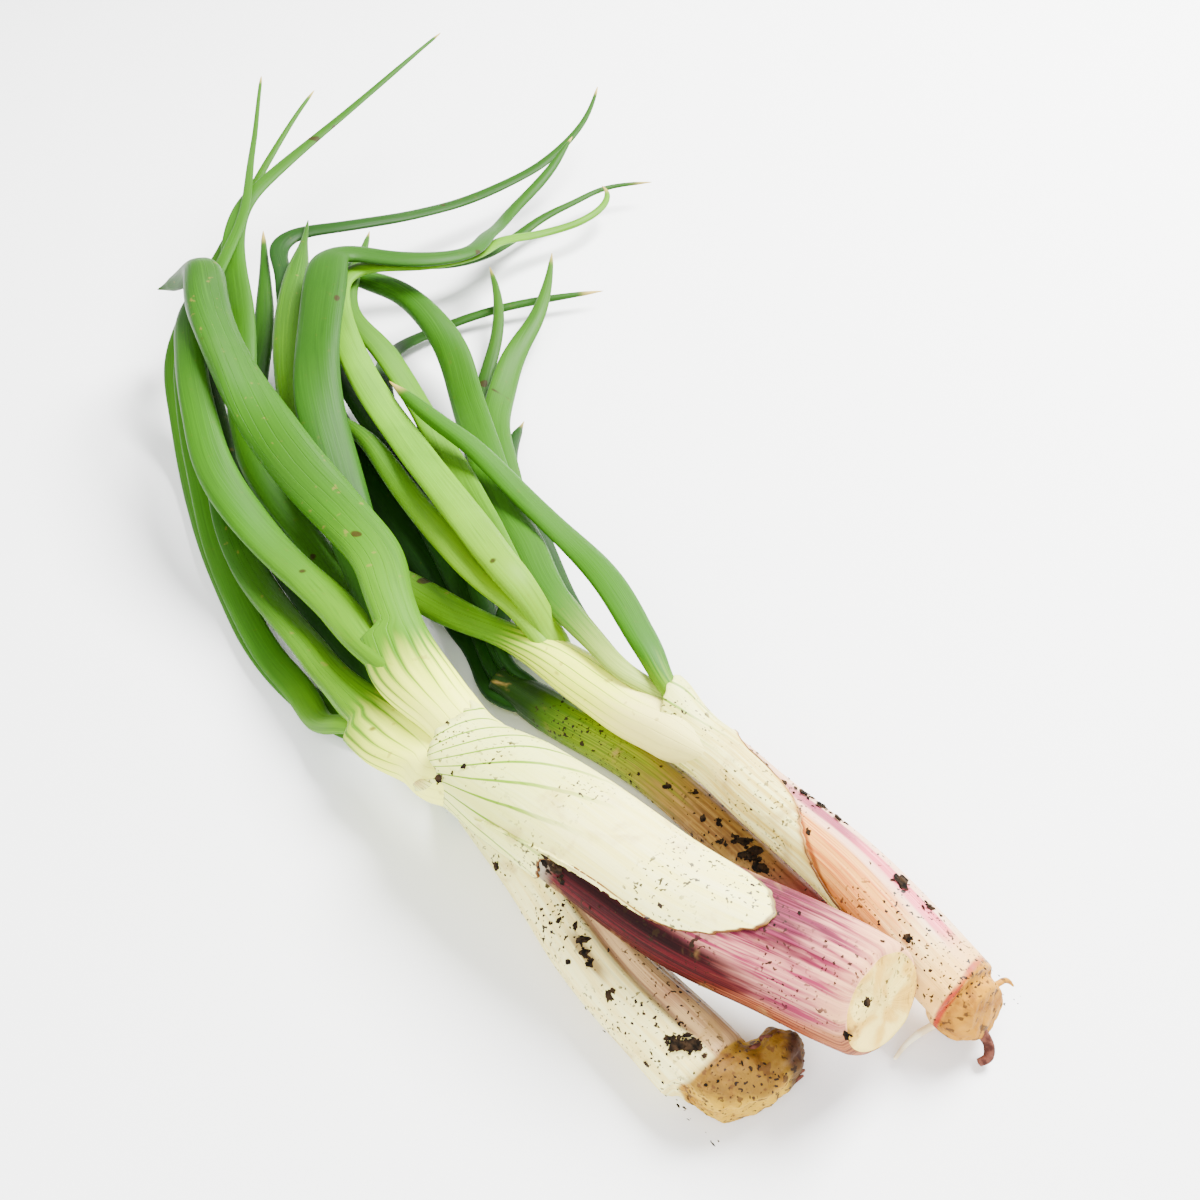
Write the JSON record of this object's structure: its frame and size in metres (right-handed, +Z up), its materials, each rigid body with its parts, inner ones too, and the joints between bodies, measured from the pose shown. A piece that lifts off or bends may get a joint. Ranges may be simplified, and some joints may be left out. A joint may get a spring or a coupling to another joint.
{
  "type": "spring onion bunch",
  "caption": "Loose bunch of spring onions lying on a table, with white and purple shanks, trimmed root ends and long bent green leaves.",
  "frame": {"origin": "middle of the bunch's box, on the table that it lies on", "axes": "+Z up; +Y from the root ends towards the leaf tips, the longest way; +X to the side where the root ends lie"},
  "size_m": [0.1952, 0.3732, 0.0414],
  "materials": {
    "front_shank": "white torn skin over pink and purple skin, satin",
    "brown_shank": "cream to tan skin with soil, satin",
    "right_shank": "white and orange skin over pink, satin",
    "lower_shank": "olive to tan skin with soil, satin",
    "sheathed_leaf": "white veined sheath turning to waxy green leaf",
    "leaf": "green with a waxy bloom, satin",
    "pale_leaf": "pale green with a waxy bloom, satin",
    "bright_leaf": "yellow-green, satin",
    "dark_leaf": "dark green, satin"
  },
  "bodies": {
    "root": {"onion_a_shank": "front_shank", "onion_a_left_leaf": "sheathed_leaf", "onion_a_right_leaf": "sheathed_leaf", "onion_a_leaf_1": "pale_leaf", "onion_a_leaf_2": "leaf", "onion_a_leaf_3": "leaf", "onion_b_shank": "brown_shank", "onion_b_leaf_1": "pale_leaf", "onion_b_leaf_2": "leaf", "onion_b_leaf_3": "leaf", "onion_c_shank": "right_shank", "onion_c_upper_leaf": "sheathed_leaf", "onion_c_leaf_1": "dark_leaf", "onion_c_leaf_2": "leaf", "onion_c_leaf_3": "bright_leaf", "onion_c_leaf_4": "leaf", "onion_c_leaf_5": "leaf", "onion_c_leaf_6": "bright_leaf", "onion_c_leaf_7": "dark_leaf", "onion_d_shank": "lower_shank", "onion_d_leaf_1": "dark_leaf", "onion_d_leaf_2": "leaf", "onion_d_leaf_3": "leaf", "onion_d_leaf_4": "leaf"}
  },
  "joints": []
}
